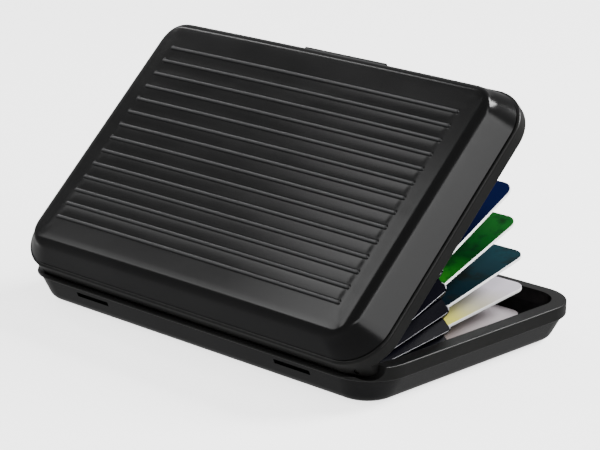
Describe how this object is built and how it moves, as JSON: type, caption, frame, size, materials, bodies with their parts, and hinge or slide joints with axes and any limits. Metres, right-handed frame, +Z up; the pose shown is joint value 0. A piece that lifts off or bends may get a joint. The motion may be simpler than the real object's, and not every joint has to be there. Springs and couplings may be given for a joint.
{
  "type": "hard-shell card wallet",
  "caption": "Ribbed hard-shell card wallet, open on its edge hinge, with a press latch and fanned accordion pockets holding plastic cards.",
  "frame": {"origin": "the middle of the crest of the lower cover's seventh rib from the hinge, on which it stands, half a rib pitch from the case's middle plane", "axes": "X along the hinge, +Y from the hinge to the latch, +Z up; the lid stands open 43.3 degrees at rest"},
  "size_m": [0.11, 0.0731, 0.0599],
  "materials": {
    "black_shell": "satin black coating",
    "black_frame": "satin",
    "pocket_film": "fine grain film",
    "pin_steel": "plain",
    "card_grey": "laminated",
    "card_yellow": "laminated",
    "card_teal": "laminated",
    "card_green": "laminated",
    "card_blue": "laminated"
  },
  "bodies": {
    "base": {"lower_cover": "black_shell", "lower_frame": "black_frame", "lower_pocket_panel": "pocket_film", "left_hinge_pin": "pin_steel", "right_hinge_pin": "pin_steel", "left_gusset": "pocket_film", "right_gusset": "pocket_film"},
    "lid": {"upper_cover": "black_shell", "upper_frame": "black_frame", "upper_pocket_panel": "pocket_film"},
    "latch": {"latch_tab": "black_frame"},
    "divider_1": {"divider_1": "pocket_film"},
    "divider_2": {"divider_2": "pocket_film"},
    "divider_3": {"divider_3": "pocket_film"},
    "divider_4": {"divider_4": "pocket_film"},
    "divider_5": {"divider_5": "pocket_film"},
    "divider_6": {"divider_6": "pocket_film"},
    "grey_card": {"grey_card": "card_grey"},
    "yellow_card": {"yellow_card": "card_yellow"},
    "teal_card": {"teal_card": "card_teal"},
    "green_card": {"green_card": "card_green"},
    "blue_card": {"blue_card": "card_blue"}
  },
  "joints": [
    {"name": "lid_hinge", "type": "hinge", "parent": "base", "child": "lid", "pos_m": [0, -0.03076, 0.0095], "axis": [1, 0, 0], "range_deg": [-43.3, 5], "deforming": ["left_gusset", "right_gusset"]},
    {"name": "latch_press", "type": "hinge", "parent": "lid", "child": "latch", "pos_m": [0, 0.01636, 0.05734], "axis": [1, 0, 0], "range_deg": [0, 8], "stiffness_Nm_per_rad": 0.02},
    {"name": "divider_6_fold", "type": "hinge", "parent": "lid", "child": "divider_6", "pos_m": [0, -0.07734, -0.02395], "axis": [1, 0, 0], "range_deg": [-1.11, 8.1]},
    {"name": "divider_5_fold", "type": "hinge", "parent": "divider_6", "child": "divider_5", "pos_m": [0, -0.02413, 0.01523], "axis": [1, 0, 0], "range_deg": [-1.16, 8.5]},
    {"name": "divider_4_fold", "type": "hinge", "parent": "divider_5", "child": "divider_4", "pos_m": [0, -0.02076, 0.01578], "axis": [1, 0, 0], "range_deg": [-0.99, 7]},
    {"name": "divider_3_fold", "type": "hinge", "parent": "divider_4", "child": "divider_3", "pos_m": [0, -0.02074, 0.01136], "axis": [1, 0, 0], "range_deg": [-1.08, 7.8]},
    {"name": "divider_2_fold", "type": "hinge", "parent": "divider_3", "child": "divider_2", "pos_m": [0, -0.01628, 0.00827], "axis": [1, 0, 0], "range_deg": [-0.96, 6.8]},
    {"name": "divider_1_fold", "type": "hinge", "parent": "divider_2", "child": "divider_1", "pos_m": [0, -0.01321, 0.00541], "axis": [1, 0, 0], "range_deg": [-0.79, 5.3]},
    {"name": "grey_card_slide", "type": "slide", "parent": "divider_1", "child": "grey_card", "axis": [0, 0.9998, 0.0175], "range_m": [-0.0009, 0.0015]},
    {"name": "yellow_card_slide", "type": "slide", "parent": "divider_2", "child": "yellow_card", "axis": [0, 0.9943, 0.1063], "range_m": [-0.0022, 0.022]},
    {"name": "teal_card_slide", "type": "slide", "parent": "divider_3", "child": "teal_card", "axis": [0, 0.9755, 0.2198], "range_m": [-0.0026, 0.022]},
    {"name": "green_card_slide", "type": "slide", "parent": "divider_4", "child": "green_card", "axis": [0, 0.9379, 0.3469], "range_m": [-0.0016, 0.022]},
    {"name": "blue_card_slide", "type": "slide", "parent": "divider_5", "child": "blue_card", "axis": [0, 0.8902, 0.4555], "range_m": [-0.0025, 0.022]}
  ],
  "couplings": [
    {"joint": "divider_6_fold", "follows": "lid_hinge", "ratio": -0.18245},
    {"joint": "divider_5_fold", "follows": "lid_hinge", "ratio": -0.19169},
    {"joint": "divider_4_fold", "follows": "lid_hinge", "ratio": -0.15704},
    {"joint": "divider_3_fold", "follows": "lid_hinge", "ratio": -0.17552},
    {"joint": "divider_2_fold", "follows": "lid_hinge", "ratio": -0.15243},
    {"joint": "divider_1_fold", "follows": "lid_hinge", "ratio": -0.11778}
  ]
}
